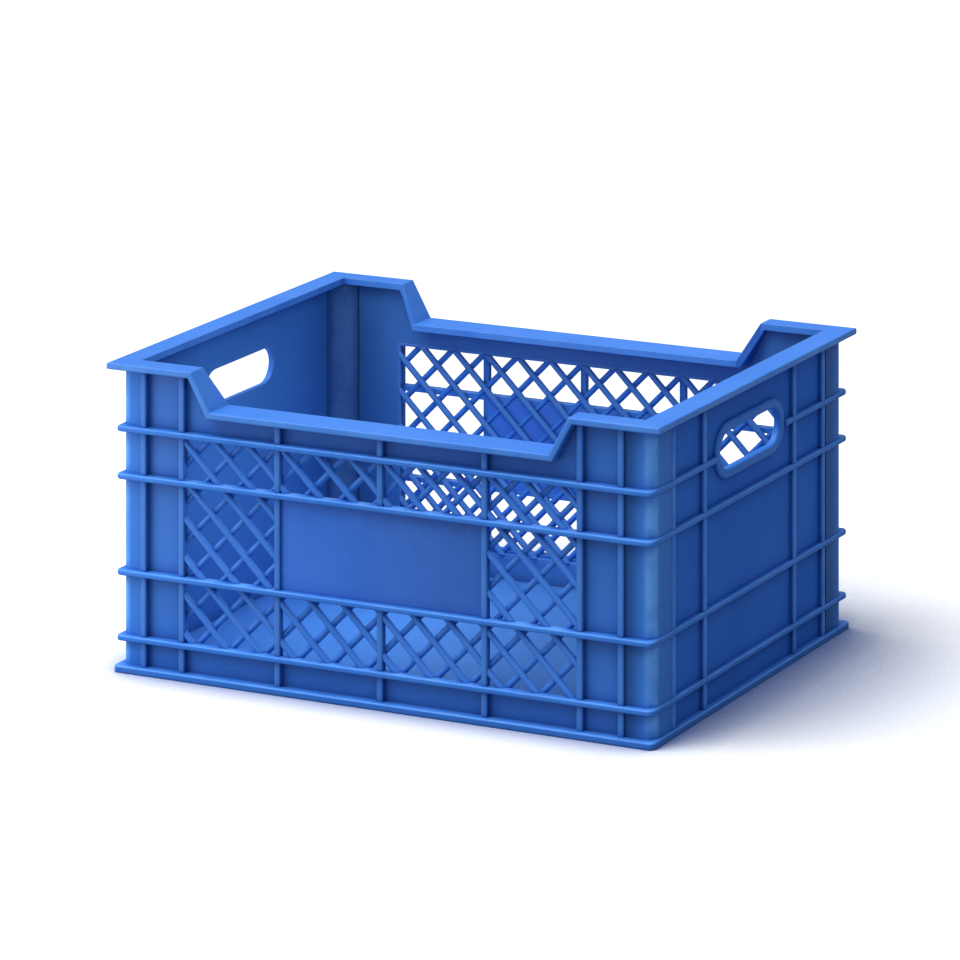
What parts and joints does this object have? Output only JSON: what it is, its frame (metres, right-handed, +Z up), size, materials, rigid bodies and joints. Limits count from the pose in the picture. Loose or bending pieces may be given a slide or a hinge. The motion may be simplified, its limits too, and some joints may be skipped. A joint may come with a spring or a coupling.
{
  "type": "perforated stacking crate",
  "caption": "Open-top rectangular plastic stacking crate with diamond lattice side windows, wrap-round ribs, lowered side rims, end hand holds and blank label plates.",
  "frame": {"origin": "middle of the footprint on the ground, midway between both end walls and both long walls", "axes": "+X along the long side towards the right end wall, +Y across towards the rear long wall, +Z up through the open top"},
  "size_m": [0.6, 0.4, 0.295],
  "materials": {
    "frame_blue": "satin moulded polyethylene with softened edges",
    "rim_blue": "satin moulded polyethylene, lighter where hands and stacking rub it",
    "wall_blue": "fine matt moulding texture",
    "floor_blue": "fine matt moulding texture with light scuffs",
    "lattice_blue": "satin moulded rods",
    "label_blue": "smooth satin writing surface"
  },
  "bodies": {
    "root": {"floor_panel": "floor_blue", "base_band": "frame_blue", "corner_post_front_left": "frame_blue", "corner_post_front_right": "frame_blue", "corner_post_rear_left": "frame_blue", "corner_post_rear_right": "frame_blue", "front_wall": "wall_blue", "rear_wall": "wall_blue", "left_end_wall": "wall_blue", "right_end_wall": "wall_blue", "front_lattice": "lattice_blue", "rear_lattice": "lattice_blue", "front_label_plate": "label_blue", "rear_label_plate": "label_blue", "left_handle_collar": "frame_blue", "right_handle_collar": "frame_blue", "rib_hoop_bottom": "frame_blue", "rib_hoop_lower": "frame_blue", "rib_hoop_upper": "frame_blue", "rib_hoop_top_front": "frame_blue", "rib_hoop_top_rear": "frame_blue", "rim_frame": "rim_blue"}
  },
  "joints": []
}
